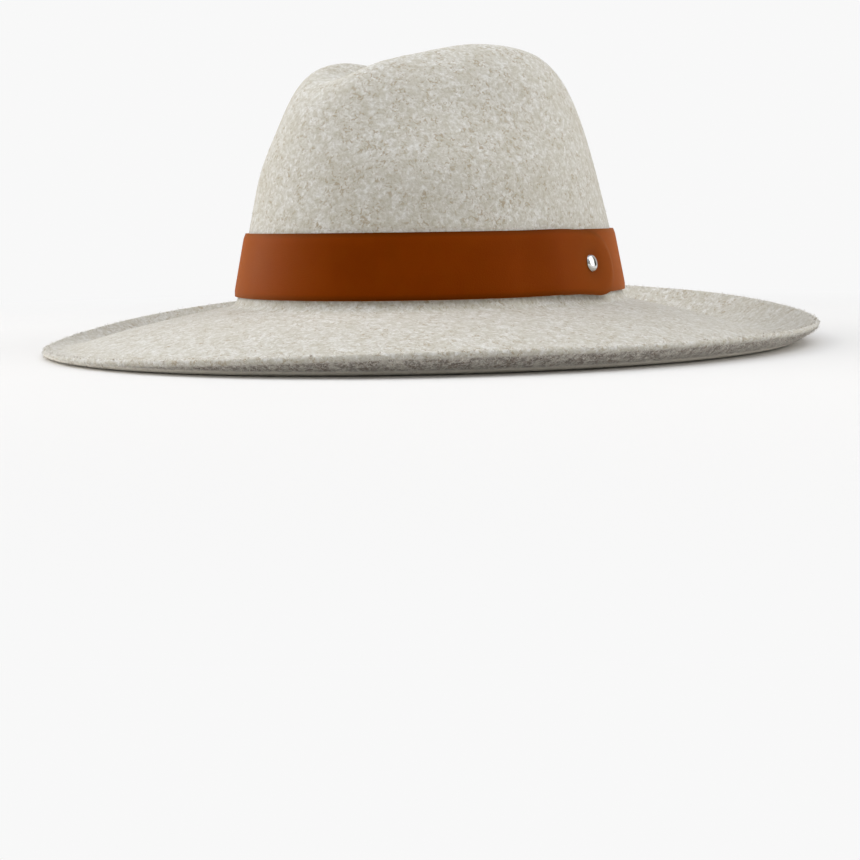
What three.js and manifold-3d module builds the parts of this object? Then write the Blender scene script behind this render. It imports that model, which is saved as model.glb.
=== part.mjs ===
// A soft felt fedora: one blocked felt body with a teardrop dent in its top, two pinches beside its front
// and a brim that turns up at its rim, with a leather band that overlaps itself under one rivet.
// Sizes are in millimetres, +Z is up, the front faces -Y and the brim rests on z = 0.
import * as THREE from "three";
import { mergeVertices } from "three/addons/utils/BufferGeometryUtils.js";
import Module from "manifold-3d";

const wasm = await Module();
wasm.setup();

// The felt and the head it fits
const feltThickness = 2.8;
const headHalfWidth = 83.7;
const headHalfLength = 99.7;

// The brim, measured outwards from the crown
const brimWidth = 93;
const brimBackExtra = 2;
const brimDrop = 19;
const breakRadius = 4;
const restWidth = 3;
const rollWidth = 5;
const rollWidthPerRise = 1.4;
const rimRise = 9.7;

// The crown, measured up from the brim at its foot
const crownHeight = 120.7;
const wallInset = 6;
const domeSquareness = 4.8;
const sideLean = 15;
const frontLean = 21;
const backLean = 36.4;
const topTwist = 9.5;

// The teardrop dent in the top, with its narrow end in front. It sets in between two shares of the
// dome's height
const dentDepth = 17.4;
const dentHalfWidth = 51;
const dentFront = 106;
const dentBack = 44;
const dentStartHeight = 0.5;
const dentFullHeight = 0.95;

// The two pinches beside the front, which push the crown in from their foot to its top
const pinchDepth = 11.2;
const pinchAngle = 64;
const pinchFoot = 58.6;
const pinchFull = 94.7;
const pinchHalfWidth = 55;
const pinchReach = 0.8;

// The leather band, and the clearance that all pieces keep
const clearance = 0.3;
const leatherThickness = 1.6;
const bandHeight = 30;
const bandLift = 4.3;
const bandEdgeBevel = 0.4;
const overlapLength = 42;
const stepLength = 26;
const endPastRivet = 21;
const endRound = 17;

// The rivet
const rivetAngle = 12.8;
const rivetDrop = 1.3;
const rivetCapRadius = 4.1;
const rivetCapHeight = 1.6;
const rivetCapEdge = 0.6;
const rivetPostRadius = 1.4;
const rivetBackRadius = 3.4;
const rivetBackThickness = 0.5;

// The rim's rise round the hat as a share of rimRise, from the wearer's left to the back and on round
const rimRows = [
  { at: "left", rise: 0.76 },
  { at: "back left", rise: 0.86 },
  { at: "back", rise: 1.7 },
  { at: "back right", rise: 2.17 },
  { at: "right", rise: 1.29 },
  { at: "front right", rise: 0.19 },
  { at: "front", rise: 0.23 },
  { at: "front left", rise: 0.76 },
];

// The brim's slope from the crown to the strip it rests on, as shares of its width and of brimDrop
const slopeRows = [
  { out: 0.16, height: 0.87 },
  { out: 0.36, height: 0.7 },
  { out: 0.58, height: 0.49 },
  { out: 0.8, height: 0.25 },
  { out: 0.92, height: 0.1 },
];

// The dent's sections at even steps from its front to its back, with the half width and the depth
// there as shares of its sizes
const dentRows = [
  { at: "front", half: 0.42, depth: 0 },
  { at: "nose", half: 0.46, depth: 0.3 },
  { at: "behind the nose", half: 0.62, depth: 0.72 },
  { at: "middle", half: 0.84, depth: 0.98 },
  { at: "behind the middle", half: 0.98, depth: 0.72 },
  { at: "back", half: 0.9, depth: 0 },
];

const columns = 64;
const domeRings = 20;
const filletSteps = 3;
const rollSteps = 4;
const rimSteps = 3;
const bandSteps = 80;

const halfWidth = headHalfWidth + feltThickness;
const halfLength = headHalfLength + feltThickness;
const breakHeight = feltThickness + brimDrop;
const wallHeight = bandLift + bandHeight;
const domeHeight = crownHeight - wallHeight;
const wallSlope = wallInset / (wallHeight - breakRadius);

function smooth(share) {
  return THREE.MathUtils.smoothstep(share, 0, 1);
}

function bump(offset, spread) {
  return Math.exp(-((offset / spread) ** 2));
}

const rimCurve = new THREE.CatmullRomCurve3(
  rimRows.map((row, i) => new THREE.Vector3(i, row.rise, 0)),
  true,
  "catmullrom",
);

function rimRiseAt(angle) {
  return rimRise * rimCurve.getPoint(THREE.MathUtils.euclideanModulo(angle / (2 * Math.PI), 1)).y;
}

// A point outwards from the crown's foot by out, at height z
function ovalPoint(angle, out, z) {
  return new THREE.Vector3(
    (halfWidth + out) * Math.cos(angle),
    (halfLength + out) * Math.sin(angle),
    z,
  );
}

// The straight wall that the band wraps, up from the brim
function wallPoint(angle, up) {
  return ovalPoint(angle, -wallSlope * Math.max(up - breakRadius, 0), breakHeight + up);
}

function wallNormal(angle) {
  const flat = new THREE.Vector3(Math.cos(angle) * halfLength, Math.sin(angle) * halfWidth, 0);
  flat.normalize();
  flat.z = wallSlope;
  return flat.normalize();
}

// The brim's upper face at one angle, from the rim to the crown's foot
function brimSection(angle) {
  const rise = rimRiseAt(angle);
  const width = brimWidth + brimBackExtra * Math.sin(angle);
  const roll = rollWidth + rollWidthPerRise * rise;
  const slope = width - roll - restWidth;
  const points = [];
  for (let i = rollSteps; i > 0; i--) {
    const share = i / rollSteps;
    points.push({ out: slope + restWidth + roll * share, z: feltThickness + rise * share ** 2 });
  }
  points.push({ out: slope + restWidth, z: feltThickness, flat: true });
  points.push({ out: slope, z: feltThickness, flat: true });
  for (const row of [...slopeRows].reverse()) {
    points.push({ out: slope * row.out, z: feltThickness + brimDrop * row.height });
  }
  for (let i = filletSteps; i >= 0; i--) {
    const turn = (i / filletSteps) * (Math.PI / 2);
    const out = breakRadius * (1 - Math.cos(turn));
    const fall = (brimDrop * (1 - slopeRows[0].height) * out) / (slope * slopeRows[0].out);
    points.push({ out, z: breakHeight - fall + breakRadius * (1 - Math.sin(turn)) });
  }
  return points.map((p) => ({ at: ovalPoint(angle, p.out, p.z), flat: p.flat === true }));
}

// Even steps along the dome's section, each with its share of the width and of the height
function domeSteps() {
  const fine = 600;
  const section = [];
  for (let i = 0; i <= fine; i++) {
    const turn = (i / fine) * (Math.PI / 2);
    const width = Math.cos(turn) ** (2 / domeSquareness);
    const height = Math.sin(turn) ** (2 / domeSquareness);
    section.push(new THREE.Vector3(width, height, 0));
  }
  section[fine].x = 0;
  const scale = new THREE.Vector3(halfWidth, domeHeight, 1);
  const lengths = [0];
  for (let i = 1; i <= fine; i++) {
    const stretch = section[i].clone().sub(section[i - 1]).multiply(scale).length();
    lengths.push(lengths[i - 1] + stretch);
  }
  const steps = [];
  for (let ring = 0; ring <= domeRings; ring++) {
    const wanted = (ring / domeRings) * lengths[fine];
    const i = lengths.findIndex((length) => length >= wanted - 1e-9);
    steps.push({ width: section[i].x, height: section[i].y });
  }
  return steps;
}

const dentCurve = new THREE.CatmullRomCurve3(
  dentRows.map((row) => new THREE.Vector3(0, row.half, row.depth)),
  false,
  "catmullrom",
);

// The teardrop dent's depth at a place in plan
function dentAt(x, y) {
  const along = THREE.MathUtils.clamp((y + dentFront) / (dentFront + dentBack), 0, 1);
  const shares = dentCurve.getPoint(along);
  const across = Math.min(Math.abs(x) / (dentHalfWidth * shares.y), 1);
  return (dentDepth * smooth(shares.z) * (1 + Math.cos(Math.PI * across))) / 2;
}

// How strongly one of the pinches pushes in at a place on the crown, from 0 to 1
function pinchShare(angle, up, side) {
  const middle = -Math.PI / 2 + side * THREE.MathUtils.degToRad(pinchAngle);
  const offset = Math.atan2(Math.sin(angle - middle), Math.cos(angle - middle));
  const height = (up - pinchFoot) / (pinchFull - pinchFoot);
  return bump(offset * halfWidth, pinchHalfWidth) * smooth(height);
}

function domePoint(angle, step) {
  const cos = Math.cos(angle);
  const sin = Math.sin(angle);
  const endLean = (sin > 0 ? backLean : frontLean) / halfLength;
  const lean = (sideLean / halfWidth) * cos ** 2 + endLean * sin ** 2;
  const shrink = step.width * (1 - lean * step.height);
  const x = (halfWidth - wallInset) * cos * shrink;
  const y = (halfLength - wallInset) * sin * shrink;
  const twist = (topTwist * x * smooth(2 * (y / halfLength) + 1)) / halfWidth;
  const depthShare = (step.height - dentStartHeight) / (dentFullHeight - dentStartHeight);
  const dent = dentAt(x, y) * smooth(depthShare);
  const up = wallHeight + (domeHeight + twist) * step.height - dent;
  const share = pinchShare(angle, up, 1) + pinchShare(angle, up, -1);
  const push = share * smooth(step.width / pinchReach);
  return new THREE.Vector3(
    x - pinchDepth * push * cos,
    y - pinchDepth * push * sin,
    breakHeight + up,
  );
}

// A closed body from rings of points between two poles, facing out when the rings run from the top
// pole down the outside and back up the inside
function shell(firstPole, rings, lastPole) {
  const count = rings[0].length;
  const corners = [firstPole, ...rings.flat(), lastPole];
  const last = corners.length - 1;
  const faces = [];
  const at = (ring, i) => 1 + ring * count + (i % count);
  for (let i = 0; i < count; i++) {
    faces.push(0, at(0, i), at(0, i + 1));
    for (let ring = 0; ring + 1 < rings.length; ring++) {
      faces.push(at(ring, i), at(ring + 1, i), at(ring + 1, i + 1));
      faces.push(at(ring, i), at(ring + 1, i + 1), at(ring, i + 1));
    }
    faces.push(last, at(rings.length - 1, i + 1), at(rings.length - 1, i));
  }
  const body = new THREE.BufferGeometry();
  body.setAttribute(
    "position",
    new THREE.Float32BufferAttribute(corners.flatMap((p) => [p.x, p.y, p.z]), 3),
  );
  body.setIndex(faces);
  return body;
}

// The felt body: its outer face from the top to the rim, the rounded rim, and its inner face back up
function feltBody() {
  const steps = domeSteps();
  const angles = Array.from({ length: columns }, (_, i) => (i / columns) * 2 * Math.PI);
  const sections = angles.map((angle) => {
    const dome = steps.slice(0, -1).map((step) => ({ at: domePoint(angle, step), flat: false }));
    return [...dome.reverse(), ...brimSection(angle).reverse()];
  });
  const top = domePoint(0, steps[steps.length - 1]);
  const outer = sections[0].map((_, ring) => sections.map((section) => section[ring]));
  const facing = outer.map((ring, r) =>
    ring.map((point, i) => {
      if (point.flat) return new THREE.Vector3(0, 0, 1);
      const above = r === 0 ? top : outer[r - 1][i].at;
      const below = outer[Math.min(r + 1, outer.length - 1)][i].at;
      const left = ring[(i + columns - 1) % columns].at;
      const right = ring[(i + 1) % columns].at;
      const down = below.clone().sub(above);
      return down.cross(right.clone().sub(left)).normalize();
    }),
  );
  const inner = outer.map((ring, r) =>
    ring.map((point, i) => point.at.clone().addScaledVector(facing[r][i], -feltThickness)),
  );
  const end = outer.length - 1;
  const rim = [];
  for (let k = 1; k <= rimSteps; k++) {
    const turn = (k / (rimSteps + 1)) * Math.PI;
    rim.push(
      outer[end].map((point, i) => {
        const away = point.at.clone().sub(outer[end - 1][i].at).normalize();
        const middle = point.at.clone().addScaledVector(facing[end][i], -feltThickness / 2);
        middle.addScaledVector(facing[end][i], (Math.cos(turn) * feltThickness) / 2);
        return middle.addScaledVector(away, (Math.sin(turn) * feltThickness) / 2);
      }),
    );
  }
  const rings = [...outer.map((ring) => ring.map((p) => p.at)), ...rim, ...inner.reverse()];
  const inside = top.clone();
  inside.z -= feltThickness;
  return shell(top, rings, inside);
}

// The band's length round the wall, from an angle, measured at half its height
const bandMiddle = bandLift + bandHeight / 2;

function angleAfter(angle, length) {
  const steps = 400;
  let at = angle;
  for (let i = 0; i < steps; i++) {
    const dx = (halfWidth - wallInset / 2) * Math.sin(at);
    const dy = (halfLength - wallInset / 2) * Math.cos(at);
    at += length / steps / Math.hypot(dx, dy);
  }
  return at;
}

const rivetAt = THREE.MathUtils.degToRad(rivetAngle);
const bandStart = angleAfter(rivetAt, endPastRivet - overlapLength);
const bandEnd = angleAfter(rivetAt, endPastRivet) + 2 * Math.PI;
const stepStart = angleAfter(bandStart, -stepLength) + 2 * Math.PI;
const endStart = angleAfter(rivetAt, endPastRivet - endRound) + 2 * Math.PI;

// One section of the band: a bevelled strip of leather that stands off the wall
function bandSection(angle, standOff, halfHeight) {
  const bevel = Math.min(bandEdgeBevel, halfHeight / 3, leatherThickness / 3);
  const normal = wallNormal(angle);
  const outline = [
    [-halfHeight, leatherThickness - bevel],
    [-halfHeight + bevel, leatherThickness],
    [halfHeight - bevel, leatherThickness],
    [halfHeight, leatherThickness - bevel],
    [halfHeight, bevel],
    [halfHeight - bevel, 0],
    [-halfHeight + bevel, 0],
    [-halfHeight, bevel],
  ];
  return outline.map(([up, out]) =>
    wallPoint(angle, bandMiddle + up).addScaledVector(normal, clearance + standOff + out),
  );
}

function solidFrom(geometry) {
  const bare = geometry.clone();
  bare.deleteAttribute("normal");
  bare.deleteAttribute("uv");
  const merged = mergeVertices(bare, 1e-4);
  return new wasm.Manifold(
    new wasm.Mesh({
      numProp: 3,
      vertProperties: new Float32Array(merged.attributes.position.array),
      triVerts: new Uint32Array(merged.index.array),
    }),
  );
}

function geometryFrom(solid) {
  const mesh = solid.getMesh();
  const geometry = new THREE.BufferGeometry();
  geometry.setAttribute("position", new THREE.BufferAttribute(mesh.vertProperties, 3));
  geometry.setIndex(new THREE.BufferAttribute(mesh.triVerts, 1));
  const flat = geometry.toNonIndexed();
  flat.computeVertexNormals();
  return flat;
}

// The rivet's own frame: +Y out of the wall, and the origin on the under layer's inner face
const rivetAxis = wallNormal(rivetAt);
const rivetTurn = new THREE.Quaternion().setFromUnitVectors(new THREE.Vector3(0, 1, 0), rivetAxis);
const rivetSeat = wallPoint(rivetAt, bandMiddle - rivetDrop).addScaledVector(rivetAxis, clearance);
const layers = 2 * leatherThickness + clearance;

function cutter(radius, from, to) {
  const cylinder = new THREE.CylinderGeometry(radius, radius, to - from, 24);
  cylinder.translate(0, (from + to) / 2, 0);
  cylinder.applyQuaternion(rivetTurn);
  cylinder.translate(rivetSeat.x, rivetSeat.y, rivetSeat.z);
  return solidFrom(cylinder);
}

// The band is one strip wrapped once round the wall, and its rounded end lies over its first end
function leatherBand() {
  const sections = [];
  for (let i = 0; i <= bandSteps; i++) {
    const angle = THREE.MathUtils.lerp(bandStart, endStart, i / bandSteps);
    const over = smooth((angle - stepStart) / (bandStart + 2 * Math.PI - stepStart));
    sections.push(bandSection(angle, over * (leatherThickness + clearance), bandHeight / 2));
  }
  const endSteps = 8;
  for (let i = 1; i <= endSteps; i++) {
    const turn = (i / (endSteps + 0.5)) * (Math.PI / 2);
    const angle = endStart + (bandEnd - endStart) * Math.sin(turn);
    const half = (bandHeight / 2) * Math.cos(turn);
    sections.push(bandSection(angle, leatherThickness + clearance, half));
  }
  const middleOf = (ring) => {
    const sum = ring.reduce((total, p) => total.add(p), new THREE.Vector3());
    return sum.divideScalar(ring.length);
  };
  const last = sections[sections.length - 1];
  const strip = solidFrom(shell(middleOf(sections[0]), sections, middleOf(last)));
  const hole = cutter(rivetPostRadius + clearance, -layers, 2 * layers);
  const recess = cutter(rivetBackRadius + clearance, -layers, rivetBackThickness + clearance);
  return geometryFrom(strip.subtract(hole).subtract(recess));
}

// The rivet: a flat back in the under layer's recess, a post through both layers and a domed cap
function rivetBody() {
  const foot = layers + clearance;
  const profile = [
    new THREE.Vector2(0, 0),
    new THREE.Vector2(rivetBackRadius, 0),
    new THREE.Vector2(rivetBackRadius, rivetBackThickness),
    new THREE.Vector2(rivetPostRadius, rivetBackThickness),
    new THREE.Vector2(rivetPostRadius, foot),
    new THREE.Vector2(rivetCapRadius, foot),
  ];
  const domeSteps = 5;
  for (let i = 0; i < domeSteps; i++) {
    const turn = (i / domeSteps) * (Math.PI / 2);
    const rise = (rivetCapHeight - rivetCapEdge) * Math.sin(turn);
    profile.push(new THREE.Vector2(rivetCapRadius * Math.cos(turn), foot + rivetCapEdge + rise));
  }
  profile.push(new THREE.Vector2(0, foot + rivetCapHeight));
  return new THREE.LatheGeometry(profile, 24);
}

function piece(name, geometry, colour, roughness, metalness) {
  geometry.computeVertexNormals();
  const material = new THREE.MeshStandardMaterial({ color: colour, roughness, metalness });
  const mesh = new THREE.Mesh(geometry, material);
  mesh.name = name;
  return mesh;
}

const felt = piece("felt_body", feltBody(), 0xcdc8bc, 0.95, 0);
const rivet = piece("rivet", rivetBody(), 0xc9c8c4, 0.25, 1);
rivet.quaternion.copy(rivetTurn);
rivet.position.copy(rivetSeat);

// The origin lies under the middle of the brim's outline
const outline = new THREE.Box3().setFromObject(felt);
const pieces = new THREE.Group();
pieces.position.x = -(outline.min.x + outline.max.x) / 2;
pieces.position.y = -(outline.min.y + outline.max.y) / 2;
pieces.add(felt, piece("leather_band", leatherBand(), 0x9a4a1c, 0.45, 0), rivet);

const hat = new THREE.Group();
hat.add(pieces);

export default hat;
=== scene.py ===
# A soft felt fedora with a leather band and one rivet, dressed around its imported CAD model.
# Sizes are in metres, +Z is up, the front faces -Y and the brim rests on z = 0.
import math
import random

import bpy
from mathutils import Matrix, Quaternion, Vector


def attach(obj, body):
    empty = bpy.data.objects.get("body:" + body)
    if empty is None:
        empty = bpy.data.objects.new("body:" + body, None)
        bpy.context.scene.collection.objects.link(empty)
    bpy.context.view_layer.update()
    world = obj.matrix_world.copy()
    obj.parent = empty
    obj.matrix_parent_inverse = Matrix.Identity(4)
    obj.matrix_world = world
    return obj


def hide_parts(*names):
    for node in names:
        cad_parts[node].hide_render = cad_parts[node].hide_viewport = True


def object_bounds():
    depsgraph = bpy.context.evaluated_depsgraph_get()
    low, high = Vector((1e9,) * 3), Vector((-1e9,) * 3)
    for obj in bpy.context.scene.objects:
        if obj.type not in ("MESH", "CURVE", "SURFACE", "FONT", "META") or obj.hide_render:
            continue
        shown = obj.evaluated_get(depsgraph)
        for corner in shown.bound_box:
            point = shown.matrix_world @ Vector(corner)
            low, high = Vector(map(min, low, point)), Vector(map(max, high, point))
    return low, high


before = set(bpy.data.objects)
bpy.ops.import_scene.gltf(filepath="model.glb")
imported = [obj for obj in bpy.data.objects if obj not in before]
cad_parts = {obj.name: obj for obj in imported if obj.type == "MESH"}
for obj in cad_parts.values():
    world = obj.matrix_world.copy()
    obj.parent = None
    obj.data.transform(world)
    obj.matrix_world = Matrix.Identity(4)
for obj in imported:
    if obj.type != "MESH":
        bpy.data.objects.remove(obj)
cad_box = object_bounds()

# Two points closer than this are one point
same_point = 1e-5

# The crown's foot, as the CAD has it: an oval wall that leans inwards above its fillet
crown_middle = Vector((0.000039, -0.002237, 0))
wall_half_width = 0.0865
wall_half_length = 0.1025
wall_foot = 0.0218
wall_inset = 0.006
wall_height = 0.0343
break_radius = 0.004

# The felt's rim: its darker heather with painted shade on its outward side, the lowest strip that
# touches the floor with a painted light, and the fringe
felt_levels = 2
rim_width = 0.016
rim_reach = 1.6
rim_side_lean = 0.25
rim_top_lean = 0.8
rim_top_fade = 0.5
rim_strip = 0.0016
fringe_width = 0.0035
fringe_overhang = 0.0003

# The loose wool fibres that stand off the rim and the outer face. The shortest and the longest
# are given as times fibre_length, and corner_share keeps a root off the corners of its face
fibre_seed = 7
fibre_kinds = 5
fibre_radius = 0.00005
fibre_length = 0.0009
fibre_first_lean = (0.1, 0.5)
fibre_bend = (0.5, 1.1)
fibre_tapers = (0.85, 0.4)
fibre_lean = 0.6
fibre_spin = 6.28
fibre_shortest = 0.5
rim_fibres = 7500
rim_fibre_longest = 1.7
face_fibres = 5000
face_fibre_longest = 1.1
corner_share = 0.05
bare_lean = 0.3
bare_margin = 0.001

# The leather strip. It goes once round the wall, and its rounded end lies over its start
clearance = 0.0003
leather_thickness = 0.0016
band_height = 0.030
band_lift = 0.0043
strap_columns = 300
strap_rows = 12
end_past_rivet = 0.021
end_round = 0.017
end_steps = 14
tip_step_cut = 0.35
overlap_length = 0.042
step_length = 0.026
end_drop = 0.0022
end_lift = 0.0007
walk_step = 0.0005
back_steps = 200
strap_crease = math.radians(40)

# How the strip's edges are cut, pared and dyed, and how its ends darken: partly wear, partly painted
# shade
edge_round = 0.0007
edge_round_faces = 3
edge_angle = math.radians(50)
pared_width = 0.003
pared_depth = 0.0005
cut_edge_width = 0.0009
cut_edge_reach = 1.3
cut_edge_dye = 0.75
darkened_end_length = 0.024
darkened_end_share = 0.5

# The rivet, and the dimple that it pulls into the leather
rivet_angle = math.radians(12.8)
rivet_drop = 0.0013
rivet_sides = 48
back_radius = 0.0034
back_thickness = 0.0005
back_slope = 0.0002
post_radius = 0.0014
cap_radius = 0.0041
cap_height = 0.0019
cap_edge = 0.0005
cap_edge_inset = 0.0004
cap_shoulder = 0.0002
dome_steps = 8
dimple_depth = 0.0007
dimple_radius = 0.0065
dimple_reach = 4
rivet_crease = math.radians(35)

# The camera, as the photograph's outlines give it
view_azimuth = math.radians(47)
view_elevation = math.radians(2.18)
view_distance = 0.85
view_target = Vector((0.00005, -0.00225, 0.030))
view_pan = math.radians(0.18)
view_tilt = math.radians(-4.92)
view_roll = math.radians(0.78)
frame_pixels = 860
focal_pixels = 1698.6
sensor_width = 36
nearest_seen = 0.01
farthest_seen = 50

# The stage: a floor, an even background, and a plain room with a dark screen at the hat's back
background = (0.94, 0.94, 0.94, 1)
floor_tone = (0.72, 0.705, 0.68, 1)
floor_sides = 96
floor_radius = 6
floor_fade_start = 0.22
floor_fade_end = 0.62
room_side = (0.6, 0.59, 0.57, 1)
room_front = (0.32, 0.31, 0.29, 1)
room_overhead = (0.46, 0.5, 0.58, 1)
room_screen = (0.03, 0.03, 0.03, 1)
front_fade = (0.2, 0.95)
overhead_fade = (0.25, 0.95)
screen_azimuth = math.radians(160)
screen_front_fade = (0.5, 0.6)
screen_side_fade = (-0.22, -0.16)
light_aim = Vector((0, 0, 0.07))
light_distance = 1.6

# Sockets of a node that mixes two colours
mix_first = 6
mix_second = 7
mix_result = 2

up = Vector((0, 0, 1))
quarter_turn = math.pi / 2
brim_half_width = (cad_box[1][0] - cad_box[0][0]) / 2
brim_half_length = (cad_box[1][1] - cad_box[0][1]) / 2
band_foot = wall_foot + band_lift
band_middle = band_lift + band_height / 2
wall_slope = wall_inset / (wall_height - break_radius)


def smooth(share):
    """Eases a share from 0 to 1, and holds it there beyond."""
    share = min(max(share, 0), 1)
    return share * share * (3 - 2 * share)


def direction(azimuth, elevation=0):
    """The way to a place round the hat: 0 is its front and a quarter turn the wearer's left."""
    return Vector((
        math.sin(azimuth) * math.cos(elevation),
        -math.cos(azimuth) * math.cos(elevation),
        math.sin(elevation),
    ))


def wall_point(angle, height):
    """A point on the outside of the crown's wall, at a height above the wall's foot."""
    inset = wall_slope * max(height - break_radius, 0)
    return crown_middle + Vector((
        (wall_half_width - inset) * math.cos(angle),
        (wall_half_length - inset) * math.sin(angle),
        wall_foot + height,
    ))


def wall_normal(angle):
    flat = Vector((math.cos(angle) * wall_half_length, math.sin(angle) * wall_half_width, 0))
    flat.normalize()
    flat.z = wall_slope
    return flat.normalized()


def walk_round(start, length, steps):
    """Angles at even lengths round the wall, measured at half the wall's height."""
    angles = [start]
    half_width = wall_half_width - wall_inset / 2
    half_length = wall_half_length - wall_inset / 2
    for _ in range(steps):
        at = angles[-1]
        pace = math.hypot(half_width * math.sin(at), half_length * math.cos(at))
        angles.append(at + length / steps / pace)
    return angles


rivet_axis = wall_normal(rivet_angle)
rivet_seat = wall_point(rivet_angle, band_middle - rivet_drop) + rivet_axis * clearance


def dimple(point):
    """How far the leather and the felt sink at a point near the rivet."""
    away = (point - rivet_seat).cross(rivet_axis).length
    return dimple_depth * math.exp(-((away / dimple_radius) ** 2))


def near_rivet(point):
    return (point - rivet_seat).length < dimple_reach * dimple_radius


def inside_brim(point):
    """How far inside the brim's outline a point lies."""
    flat = math.hypot(point.x / brim_half_width, point.y / brim_half_length)
    return (1 - flat) * (brim_half_width + brim_half_length) / 2


def select_only(piece):
    bpy.ops.object.select_all(action="DESELECT")
    bpy.context.view_layer.objects.active = piece
    piece.select_set(True)


def edit(piece):
    select_only(piece)
    bpy.ops.object.mode_set(mode="EDIT")


def pick_vertices(piece, wanted):
    """Selects the vertices for which wanted is true, and leaves the piece in edit mode."""
    bpy.ops.object.mode_set(mode="OBJECT")
    mesh = piece.data
    for group in (mesh.vertices, mesh.edges, mesh.polygons):
        group.foreach_set("select", [False] * len(group))
    mesh.vertices.foreach_set("select", [wanted(vertex) for vertex in mesh.vertices])
    bpy.ops.object.mode_set(mode="EDIT")
    bpy.ops.mesh.select_mode(type="VERT")


def face_outwards():
    """Turns every face of the piece that is being edited outwards, and leaves edit mode."""
    bpy.ops.mesh.select_all(action="SELECT")
    bpy.ops.mesh.normals_make_consistent(inside=False)
    bpy.ops.object.mode_set(mode="OBJECT")


def new_disc(sides, radius):
    """A flat disc on the origin, selected in edit mode."""
    bpy.ops.object.select_all(action="DESELECT")
    bpy.ops.mesh.primitive_circle_add(vertices=sides, radius=radius, fill_type="NGON")
    bpy.ops.object.mode_set(mode="EDIT")
    bpy.ops.mesh.select_all(action="SELECT")
    return bpy.context.object


def new_object(name, data):
    made = bpy.data.objects.new(name, data)
    bpy.context.scene.collection.objects.link(made)
    return made


def apply_modifier(piece, kind, **settings):
    select_only(piece)
    modifier = piece.modifiers.new(kind.title(), kind)
    for name, value in settings.items():
        setattr(modifier, name, value)
    bpy.ops.object.modifier_apply(modifier=modifier.name)


def mark(mesh, name, values):
    """Stores a value for every vertex, which a finish reads by its name."""
    mesh.attributes.new(name, "FLOAT", "POINT").data.foreach_set("value", values)


def rim_face(vertex):
    """1 where the brim's rolled edge faces outwards, fading to 0 on its upper face; the rim's painted
    shade and light go there.
    """
    outwards = Vector((vertex.co.x, vertex.co.y, 0)).normalized().dot(vertex.normal)
    near_edge = smooth(rim_reach - inside_brim(vertex.co) / rim_width)
    off_top = smooth((rim_top_lean - vertex.normal.z) / rim_top_fade)
    return near_edge * smooth(outwards / rim_side_lean) * off_top


def rim_side_shade_share(vertex):
    """How much of the rim's heather and painted shade a vertex takes. It fades towards the edge and
    the lowest strip.
    """
    above = smooth((vertex.co.z - rim_strip) / rim_strip)
    inside = smooth((inside_brim(vertex.co) + fringe_overhang) / fringe_width)
    return rim_face(vertex) * above * inside


def rim_under_light_share(vertex):
    """How much a vertex belongs to the lowest strip of the rolled edge, which is painted paler as
    light.
    """
    return rim_face(vertex) * smooth((2 * rim_strip - vertex.co.z) / rim_strip)


def felt_hat():
    """The felt, made from the CAD's shell: merged, smoothed and sunk a little under the rivet."""
    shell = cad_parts["felt_body"].data.copy()
    hat = new_object("felt_hat", shell)
    shell.materials.clear()
    edit(hat)
    bpy.ops.mesh.select_all(action="SELECT")
    bpy.ops.mesh.customdata_custom_splitnormals_clear()
    bpy.ops.mesh.remove_doubles(threshold=same_point)
    bpy.ops.mesh.tris_convert_to_quads(face_threshold=math.pi, shape_threshold=math.pi)
    bpy.ops.object.mode_set(mode="OBJECT")
    apply_modifier(hat, "SUBSURF", levels=felt_levels, render_levels=felt_levels)
    for vertex in shell.vertices:
        if near_rivet(vertex.co):
            vertex.co -= rivet_axis * dimple(vertex.co)
    # The rim's painted shade and painted light follow these two marks
    mark(shell, "rim_side_shade", [rim_side_shade_share(vertex) for vertex in shell.vertices])
    mark(shell, "rim_under_light", [rim_under_light_share(vertex) for vertex in shell.vertices])
    return hat


def wool_fibre(draw):
    """One curved fibre that stands on the origin, of three sides and two bent steps."""
    fibre = new_disc(3, fibre_radius)
    at = Vector((0, 0, 0))
    lean = draw.uniform(*fibre_first_lean)
    for taper in fibre_tapers:
        step = Vector((math.sin(lean), 0, math.cos(lean))) * fibre_length / 2
        at += step
        bpy.ops.mesh.extrude_region_move(TRANSFORM_OT_translate={"value": step})
        bpy.ops.transform.resize(value=(taper, taper, taper), center_override=at)
        lean += draw.uniform(*fibre_bend)
    face_outwards()
    return fibre


def bare_outer_face(face):
    """True for the felt's faces that show outside, away from the leather and what it covers."""
    low = band_foot - bare_margin
    high = band_foot + band_height + bare_margin
    outwards = Vector((face.center.x, face.center.y, 0)).normalized().dot(face.normal)
    faces_out = face.normal.z > bare_lean or outwards > bare_lean
    return faces_out and not low < face.center.z < high


def fibre_root(face, points, draw):
    """A place drawn on one face of the felt."""
    shares = [draw.random() + corner_share for _ in face.vertices]
    total = sum((points[i].co * share for i, share in zip(face.vertices, shares)), Vector())
    return total / sum(shares)


def fibre_turn(face, draw):
    """A turn that stands a fibre on the face, leant and spun at random."""
    lean = Vector([draw.gauss(0, fibre_lean) for _ in range(3)])
    spin = Quaternion(up, draw.uniform(0, fibre_spin))
    return (face.normal + lean).to_track_quat("Z", "Y") @ spin


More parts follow.
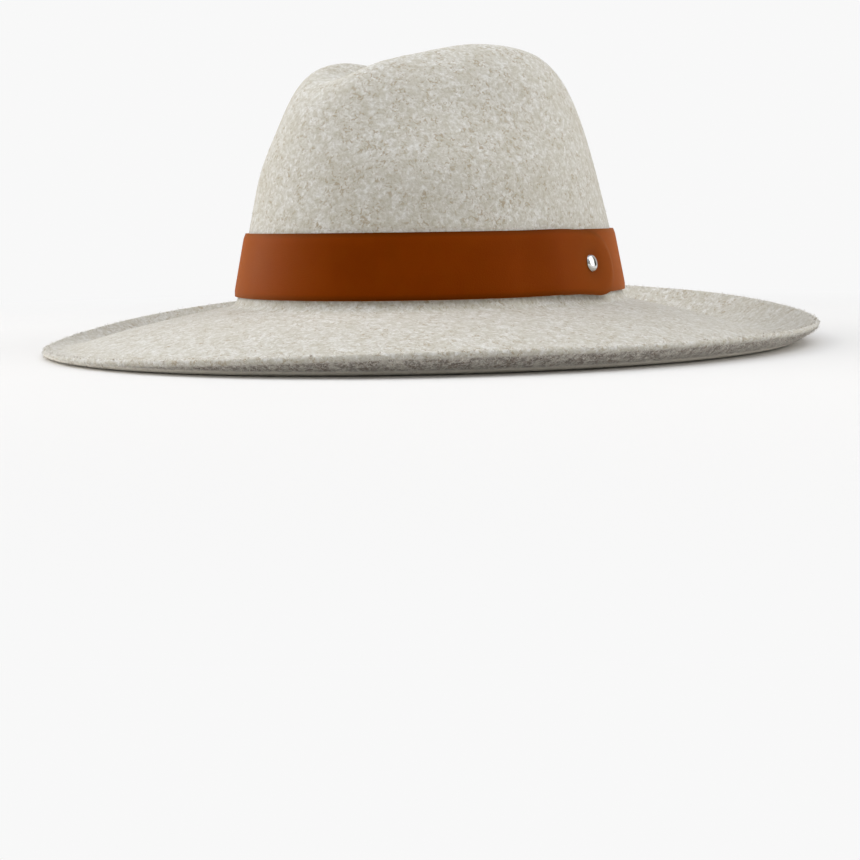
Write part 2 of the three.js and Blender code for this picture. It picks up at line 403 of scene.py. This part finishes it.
def wool_fibres(hat):
    """Copies the few kinds of fibre onto places drawn by area over the felt's rim and outer face."""
    draw = random.Random(fibre_seed)
    kinds = [wool_fibre(draw) for _ in range(fibre_kinds)]
    shapes = [
        ([v.co.copy() for v in kind.data.vertices], [tuple(f.vertices) for f in kind.data.polygons])
        for kind in kinds
    ]
    for kind in kinds:
        bpy.data.objects.remove(kind)
    points = hat.data.vertices
    bare = [face for face in hat.data.polygons if bare_outer_face(face)]
    rim = [face for face in bare if inside_brim(face.center) < fringe_width]
    crops = ((rim, rim_fibres, rim_fibre_longest), (bare, face_fibres, face_fibre_longest))
    corners = []
    faces = []
    for ground, count, longest in crops:
        areas = [face.area for face in ground]
        for face in draw.choices(ground, weights=areas, k=count):
            root = fibre_root(face, points, draw)
            turn = fibre_turn(face, draw)
            size = draw.uniform(fibre_shortest, longest)
            shape_corners, shape_faces = draw.choice(shapes)
            first = len(corners)
            corners += [root + turn @ (corner * size) for corner in shape_corners]
            faces += [tuple(first + i for i in shape_face) for shape_face in shape_faces]
    mesh = bpy.data.meshes.new("wool_fibres")
    mesh.from_pydata(corners, [], faces)
    return new_object("wool_fibres", mesh)


def strap_route():
    """Angles at every walk_step along the strip, and its length when it is back at the rivet."""
    angles = walk_round(rivet_angle, end_past_rivet - overlap_length, back_steps)[-1:]
    while angles[-1] < rivet_angle + 2 * math.pi:
        angles.append(walk_round(angles[-1], walk_step, 1)[-1])
    around = (len(angles) - 1) * walk_step
    while angles[-1] < angles[0] + 3 * math.pi:
        angles.append(walk_round(angles[-1], walk_step, 1)[-1])
    return angles, around


strap_angles, around_length = strap_route()
turn_length = around_length - (overlap_length - end_past_rivet)
strap_length = around_length + end_past_rivet
straight_length = strap_length - end_round


def strap_angle(along):
    """The wall's angle at a length along the strip."""
    place = max(along, 0) / walk_step
    i = min(int(place), len(strap_angles) - 2)
    return strap_angles[i] + (strap_angles[i + 1] - strap_angles[i]) * (place - i)


def round_end(strap):
    """Draws out the strip's far end in steps that narrow along a quarter of an oval."""
    middle = straight_length / 2
    pick_vertices(strap, lambda vertex: vertex.co.x > middle - same_point)
    out = 0
    half = 1
    for i in range(1, end_steps + 1):
        step = i if i < end_steps else i - tip_step_cut
        turn = step / end_steps * quarter_turn
        next_out = end_round * math.sin(turn)
        next_half = math.cos(turn)
        bpy.ops.mesh.extrude_region_move(
            TRANSFORM_OT_translate={"value": (next_out - out, 0, 0)})
        bpy.ops.transform.resize(
            value=(1, next_half / half, 1), center_override=(straight_length + next_out, 0, 0))
        out = next_out
        half = next_half


def flat_strap():
    """The strip laid flat along +X from the origin, with its outer face up."""
    middle = (straight_length / 2, 0, 0)
    bpy.ops.object.select_all(action="DESELECT")
    bpy.ops.mesh.primitive_grid_add(
        x_subdivisions=strap_columns, y_subdivisions=strap_rows, size=1, location=middle)
    strap = bpy.context.object
    strap.name = "leather_strap"
    bpy.ops.object.mode_set(mode="EDIT")
    bpy.ops.mesh.select_all(action="SELECT")
    bpy.ops.transform.resize(value=(straight_length, band_height, 1), center_override=middle)
    round_end(strap)
    bpy.ops.object.mode_set(mode="OBJECT")
    strap.data.transform(Matrix.Translation(middle))
    strap.location = (0, 0, 0)
    apply_modifier(strap, "SOLIDIFY", thickness=leather_thickness, offset=1)
    apply_modifier(
        strap, "BEVEL", width=edge_round, segments=edge_round_faces, limit_method="ANGLE",
        angle_limit=edge_angle)
    return strap


def inside_strap(along, across):
    """How far inside the strip's long edges and its rounded end a point lies."""
    past = max(along - straight_length, 0) / end_round
    return (1 - math.hypot(past, 2 * across / band_height)) * band_height / 2


def wrapped_point(along, across, out):
    """Where a point of the flat strip goes on the crown, over the strip's start after one turn."""
    over = smooth((along - (turn_length - step_length)) / step_length)
    end = smooth((along - strap_length + end_past_rivet) / end_past_rivet)
    drop = end_drop * smooth((along - turn_length) / overlap_length)
    stand_off = clearance + over * (leather_thickness + clearance) + end * end_lift + out
    angle = strap_angle(along)
    return wall_point(angle, band_middle + across - drop) + wall_normal(angle) * stand_off


def worn_and_shaded_share(along):
    """How dark the strip is at a length along it, as wear and painted shade: most near both ends."""
    over_end = smooth((along - strap_length + darkened_end_length + end_past_rivet) / darkened_end_length)
    # The strip's start, under the overlap, is darkened as painted shade
    under_end_shade = smooth((2 * darkened_end_length - along) / darkened_end_length)
    return darkened_end_share * max(over_end, under_end_shade)


def leather_strap():
    """The strip pared at its edges, wrapped round the crown and pressed in under the rivet."""
    strap = flat_strap()
    cut_edge = []
    worn_and_shaded = []
    for vertex in strap.data.vertices:
        along, across, out = vertex.co
        inside = inside_strap(along, across)
        outer_face = smooth(out / leather_thickness)
        out -= pared_depth * smooth(1 - inside / pared_width) * outer_face
        point = wrapped_point(along, across, out)
        wear_and_shade = worn_and_shaded_share(along)
        if near_rivet(point):
            # The dimple under the rivet is darkened too
            wear_and_shade += dimple(point) / dimple_depth
            point -= rivet_axis * dimple(point)
        vertex.co = point
        cut_edge.append(cut_edge_dye * smooth(cut_edge_reach - inside / cut_edge_width))
        worn_and_shaded.append(wear_and_shade)
    mark(strap.data, "cut_edge", cut_edge)
    mark(strap.data, "worn_and_shaded", worn_and_shaded)
    edit(strap)
    face_outwards()
    return strap


def rivet_profile():
    """Radius and height from the flat back, up the post and over the domed cap."""
    foot = 2 * leather_thickness + 2 * clearance - dimple_depth
    shoulder = cap_radius - cap_shoulder
    profile = [
        (back_radius, 0),
        (back_radius, back_thickness),
        (post_radius, back_thickness + back_slope),
        (post_radius, foot),
        (cap_radius - cap_edge_inset, foot),
        (cap_radius, foot + cap_edge / 2),
        (shoulder, foot + cap_edge),
    ]
    for i in range(1, dome_steps):
        turn = i / dome_steps * quarter_turn
        rise = (cap_height - cap_edge) * math.sin(turn)
        profile.append((shoulder * math.cos(turn), foot + cap_edge + rise))
    return profile


def rivet_cap():
    """The rivet, drawn up from its back and set on the crown."""
    cap = new_disc(rivet_sides, back_radius)
    cap.name = "rivet_cap"
    radius = back_radius
    height = 0
    for next_radius, next_height in rivet_profile()[1:]:
        bpy.ops.mesh.extrude_region_move(
            TRANSFORM_OT_translate={"value": (0, 0, next_height - height)})
        share = next_radius / radius
        bpy.ops.transform.resize(value=(share, share, 1), center_override=(0, 0, next_height))
        radius = next_radius
        height = next_height
    bpy.ops.mesh.poke()
    face_outwards()
    turn = up.rotation_difference(rivet_axis).to_matrix().to_4x4()
    cap.data.transform(Matrix.Translation(rivet_seat) @ turn)
    return cap


def colour(red, green, blue):
    """A colour given as it looks on a screen, from 0 to 255."""
    def linear(part):
        part /= 255
        return part / 12.92 if part <= 0.04045 else ((part + 0.055) / 1.055) ** 2.4
    return (linear(red), linear(green), linear(blue), 1)


# The wools of the felt's face
pale_wool = colour(210, 209, 205)
sand_wool = colour(183, 179, 167)
grey_wool = colour(166, 158, 141)
stone_wool = colour(174, 168, 152)
brown_fleck = colour(146, 129, 100)
wool_down = colour(240, 238, 232)

# The wools of the rim with its painted shade and painted light, and of the loose fibres
# The darkest heathers also paint the shade of the rim's outward side
shaded_dark_heather = colour(94, 78, 66)
grey_heather = colour(168, 162, 152)
shaded_slate_heather = colour(82, 76, 74)
white_heather = colour(220, 216, 206)
# A paler wool painted on the lowest strip as light against the floor's shade
painted_underside_light = colour(250, 244, 232)
brown_strand = colour(150, 134, 116)
white_strand = colour(228, 225, 217)

# The leather, its dyed edge, its gloss and its darker ends with painted shade, and the nickel
deep_tan = colour(93, 30, 1)
warm_tan = colour(102, 36, 1)
golden_tan = colour(97, 39, 1)
# A darker tan for the strip's ends and dimple, partly wear and partly painted shade
worn_and_shaded_tan = colour(52, 12, 0)
edge_dye = colour(22, 5, 1)
leather_gloss = colour(255, 150, 30)
leather_glow = colour(232, 126, 14)
dull_nickel = colour(205, 204, 200)
bright_nickel = colour(222, 221, 218)


class Nodes:
    """Short calls for the nodes that the finishes and the room share."""

    def __init__(self, tree):
        self.tree = tree

    def feed(self, socket, value):
        """Links a socket to another, or sets it to a plain value."""
        if isinstance(value, bpy.types.NodeSocket):
            self.tree.links.new(value, socket)
        else:
            socket.default_value = value

    def node(self, kind, settings=None, **inputs):
        made = self.tree.nodes.new(kind)
        for name, value in (settings or {}).items():
            setattr(made, name, value)
        for name, value in inputs.items():
            self.feed(made.inputs[name.replace("_", " ")], value)
        return made

    def combine(self, operation, first, second):
        made = self.node("ShaderNodeMath", {"operation": operation})
        self.feed(made.inputs[0], first)
        self.feed(made.inputs[1], second)
        return made.outputs[0]

    def add(self, first, second):
        return self.combine("ADD", first, second)

    def times(self, first, second):
        return self.combine("MULTIPLY", first, second)

    def spread(self, value, low, high, to_low=0.0, to_high=1.0):
        """A value from low to high, eased to run from to_low to to_high."""
        made = self.node(
            "ShaderNodeMapRange", {"interpolation_type": "SMOOTHSTEP"}, Value=value,
            From_Min=low, From_Max=high, To_Min=to_low, To_Max=to_high)
        return made.outputs["Result"]

    def mix(self, share, first, second):
        """The first colour, with a share of the second one laid over it."""
        made = self.node("ShaderNodeMix", {"data_type": "RGBA"}, Factor=share)
        self.feed(made.inputs[mix_first], first)
        self.feed(made.inputs[mix_second], second)
        return made.outputs[mix_result]


class Finish(Nodes):
    """A material whose patterns follow the piece's own coordinates."""

    def __init__(self, name):
        self.material = bpy.data.materials.new(name)
        self.material.use_nodes = True
        super().__init__(self.material.node_tree)
        self.shader = self.tree.nodes["Principled BSDF"]
        self.place = self.node("ShaderNodeTexCoord").outputs["Object"]

    def noise(self, scale, detail, roughness=0.5, distortion=0):
        made = self.node(
            "ShaderNodeTexNoise", Vector=self.place, Scale=scale, Detail=detail,
            Roughness=roughness, Distortion=distortion)
        return made.outputs["Fac"]

    def marked(self, name):
        """The value that mark stored under this name."""
        return self.node("ShaderNodeAttribute", {"attribute_name": name}).outputs["Fac"]

    def bump(self, height, distance, strength):
        made = self.node("ShaderNodeBump", Height=height, Distance=distance, Strength=strength)
        return made.outputs["Normal"]

    def surface(self, **inputs):
        """Sets or links the shader's own sockets, and gives the finished material."""
        for name, value in inputs.items():
            self.feed(self.shader.inputs[name.replace("_", " ")], value)
        return self.material


def felt_finish():
    felt = Finish("oatmeal_felt")
    fine = felt.noise(scale=900, detail=3, roughness=0.6, distortion=0.4)
    clumps = felt.noise(scale=360, detail=2, roughness=0.55, distortion=0.6)
    patches = felt.noise(scale=75, detail=3, roughness=0.6)
    groups = felt.noise(scale=130, detail=2, distortion=0.5)
    spots = felt.noise(scale=540, detail=2, distortion=1.0)
    tufts = felt.noise(scale=230, detail=3, roughness=0.6)

    # The face: pale wool with sandier clumps and patches, and brown flecks in groups
    tone = felt.mix(felt.spread(clumps, 0.3, 0.68), pale_wool, sand_wool)
    tone = felt.mix(felt.spread(fine, 0.35, 0.7, 0, 0.5), tone, grey_wool)
    tone = felt.mix(felt.spread(patches, 0.4, 0.7, 0, 0.35), tone, stone_wool)
    flecked = felt.times(felt.spread(spots, 0.5, 0.68), felt.spread(groups, 0.36, 0.6, 0.15, 0.65))
    tone = felt.mix(flecked, tone, brown_fleck)

    # The rim: a darker heather with painted shade that ends in ragged tufts, and a lowest strip
    # painted paler as light
    shaded_heather = felt.mix(felt.spread(tufts, 0.38, 0.62), shaded_dark_heather, grey_heather)
    shaded_heather = felt.mix(felt.spread(clumps, 0.38, 0.6, 0, 0.6), shaded_heather, shaded_slate_heather)
    shaded_heather = felt.mix(felt.spread(fine, 0.42, 0.68, 0, 0.55), shaded_heather, white_heather)
    rim_side_shade = felt.marked("rim_side_shade")
    ragged = felt.spread(felt.add(rim_side_shade, felt.times(tufts, 0.9)), 0.6, 1.2)
    # The heather laid on the rim's outward side, darker as painted shade
    rim = felt.times(ragged, felt.spread(rim_side_shade, 0, 0.4, 0, 0.9))
    tone = felt.mix(rim, tone, shaded_heather)
    # The lowest strip painted paler, as light against the floor's shade
    tone = felt.mix(felt.times(felt.marked("rim_under_light"), 0.8), tone, painted_underside_light)

    height = felt.add(fine, felt.times(clumps, 1.2))
    return felt.surface(
        Base_Color=tone, Roughness=0.95, Specular_IOR_Level=0.15, Sheen_Weight=0.25,
        Sheen_Roughness=0.6, Sheen_Tint=wool_down, Normal=felt.bump(height, 0.0004, 0.8))


def fibre_finish():
    wool = Finish("loose_wool")
    strands = wool.spread(wool.noise(scale=700, detail=1), 0.42, 0.5)
    return wool.surface(
        Base_Color=wool.mix(strands, brown_strand, white_strand), Roughness=0.8,
        Specular_IOR_Level=0.2)


def leather_finish():
    leather = Finish("tan_leather")
    clouds = leather.noise(scale=28, detail=3, roughness=0.55)
    streaks = leather.noise(scale=140, detail=2)
    grain = leather.noise(scale=1400, detail=2, roughness=0.6)
    pores = leather.node(
        "ShaderNodeTexVoronoi", {"feature": "DISTANCE_TO_EDGE"}, Vector=leather.place, Scale=900)
    creases = leather.spread(pores.outputs["Distance"], 0, 0.16)

    tone = leather.mix(leather.spread(clouds, 0.3, 0.7), deep_tan, warm_tan)
    tone = leather.mix(leather.spread(streaks, 0.4, 0.7, 0, 0.25), tone, golden_tan)
    # The ends and the dimple darkened, partly as wear and partly as painted shade
    tone = leather.mix(leather.times(leather.marked("worn_and_shaded"), 0.5), tone, worn_and_shaded_tan)
    tone = leather.mix(leather.marked("cut_edge"), tone, edge_dye)

    height = leather.add(leather.times(creases, 0.6), grain)
    return leather.surface(
        Base_Color=tone, Roughness=leather.spread(clouds, 0.3, 0.7, 0.42, 0.5),
        Specular_IOR_Level=0.07, Specular_Tint=leather_gloss, Sheen_Weight=0.66,
        Sheen_Roughness=0.6, Sheen_Tint=leather_glow, Normal=leather.bump(height, 0.00006, 0.6))


def nickel_finish():
    nickel = Finish("polished_nickel")
    scuffs = nickel.noise(scale=900, detail=2)
    return nickel.surface(
        Metallic=1, Base_Color=nickel.mix(scuffs, dull_nickel, bright_nickel),
        Roughness=nickel.spread(scuffs, 0.3, 0.7, 0.08, 0.16))


def shade(piece, material, crease=None):
    """Smooths a piece, all over or up to edges sharper than crease, and gives it its finish."""
    select_only(piece)
    if crease is None:
        bpy.ops.object.shade_smooth()
    else:
        bpy.ops.object.shade_smooth_by_angle(angle=crease)
    piece.data.materials.clear()
    piece.data.materials.append(material)


def studio_floor():
    """A pale floor that takes the hat's shadow and fades into the plain background farther away."""
    floor = new_disc(floor_sides, floor_radius)
    floor.name = "studio_floor"
    bpy.ops.object.mode_set(mode="OBJECT")
    paint = Finish("studio_white")
    paint.surface(Base_Color=floor_tone, Roughness=0.9, Specular_IOR_Level=0)
    glow = paint.node("ShaderNodeEmission", Color=background)
    away = paint.node("ShaderNodeVectorMath", {"operation": "LENGTH"})
    paint.feed(away.inputs[0], paint.place)
    far = paint.spread(away.outputs["Value"], floor_fade_start, floor_fade_end)
    blend = paint.node("ShaderNodeMixShader", Fac=far)
    paint.feed(blend.inputs[1], paint.shader.outputs["BSDF"])
    paint.feed(blend.inputs[2], glow.outputs["Emission"])
    paint.feed(paint.tree.nodes["Material Output"].inputs["Surface"], blend.outputs["Shader"])
    floor.data.materials.append(paint.material)


def soft_light(name, azimuth, elevation, size, power):
    lamp = bpy.data.lights.new(name, "AREA")
    lamp.shape = "RECTANGLE"
    lamp.size, lamp.size_y = size
    lamp.energy = power
    away = direction(math.radians(azimuth), math.radians(elevation))
    holder = new_object(name, lamp)
    holder.location = light_aim + away * light_distance
    holder.rotation_euler = away.to_track_quat("Z", "Y").to_euler()


def room_light():
    """An even pale background, and a room that is dim on the camera's side and bluer overhead."""
    world = bpy.data.worlds.new("studio_room")
    bpy.context.scene.world = world
    world.use_nodes = True
    room = Nodes(world.node_tree)
    room.tree.nodes.clear()
    place = room.node("ShaderNodeTexCoord").outputs["Generated"]

    def toward(way, fade):
        """Rises from 0 to 1 where the room lies more and more in one direction."""
        dot = room.node("ShaderNodeVectorMath", {"operation": "DOT_PRODUCT"})
        room.feed(dot.inputs[0], place)
        room.feed(dot.inputs[1], way)
        return room.spread(dot.outputs["Value"], *fade)

    across = Vector((math.cos(screen_azimuth), math.sin(screen_azimuth), 0))
    between = room.times(toward(across, screen_side_fade), toward(-across, screen_side_fade))
    screen = room.times(toward(direction(screen_azimuth), screen_front_fade), between)
    level = room.mix(toward(direction(view_azimuth), front_fade), room_side, room_front)
    level = room.mix(screen, level, room_screen)
    level = room.mix(toward(up, overhead_fade), level, room_overhead)
    lit = room.node("ShaderNodeBackground", Color=level)
    seen = room.node("ShaderNodeBackground", Color=background)
    path = room.node("ShaderNodeLightPath")
    shown = room.node("ShaderNodeMixShader", Fac=path.outputs["Is Camera Ray"])
    room.feed(shown.inputs[1], lit.outputs["Background"])
    room.feed(shown.inputs[2], seen.outputs["Background"])
    room.node("ShaderNodeOutputWorld", Surface=shown.outputs["Shader"])


def photograph_camera():
    data = bpy.data.cameras.new("photograph_camera")
    data.sensor_width = sensor_width
    data.lens = focal_pixels * sensor_width / frame_pixels
    data.clip_start = nearest_seen
    data.clip_end = farthest_seen
    away = direction(view_azimuth, view_elevation)
    forward = -away
    right = forward.cross(up).normalized()
    above = right.cross(forward)
    pan = Quaternion(above, view_pan)
    forward = pan @ forward
    right = pan @ right
    tilt = Quaternion(right, view_tilt)
    forward = tilt @ forward
    above = tilt @ above
    roll = Quaternion(forward, view_roll)
    right = roll @ right
    above = roll @ above
    turn = Matrix((right, above, -forward)).transposed()
    camera = new_object("photograph_camera", data)
    camera.matrix_world = Matrix.Translation(view_target + away * view_distance) @ turn.to_4x4()
    bpy.context.scene.camera = camera


hat = felt_hat()
shade(hat, felt_finish())
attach(hat, "root")
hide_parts("felt_body")

fibres = wool_fibres(hat)
shade(fibres, fibre_finish())
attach(fibres, "root")

strap = leather_strap()
shade(strap, leather_finish(), strap_crease)
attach(strap, "root")
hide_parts("leather_band")

cap = rivet_cap()
shade(cap, nickel_finish(), rivet_crease)
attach(cap, "root")
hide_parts("rivet")

studio_floor()
room_light()
soft_light("left_softbox", -46, 20, size=(1.9, 1.8), power=27)
soft_light("right_softbox", 130, 28, size=(1.5, 1.8), power=12.5)
soft_light("high_softbox", 105, 58, size=(1.4, 1.4), power=10.5)
soft_light("top_softbox", -55, 66, size=(1.4, 1.4), power=5)
photograph_camera()
bpy.context.scene.view_settings.view_transform = "Standard"
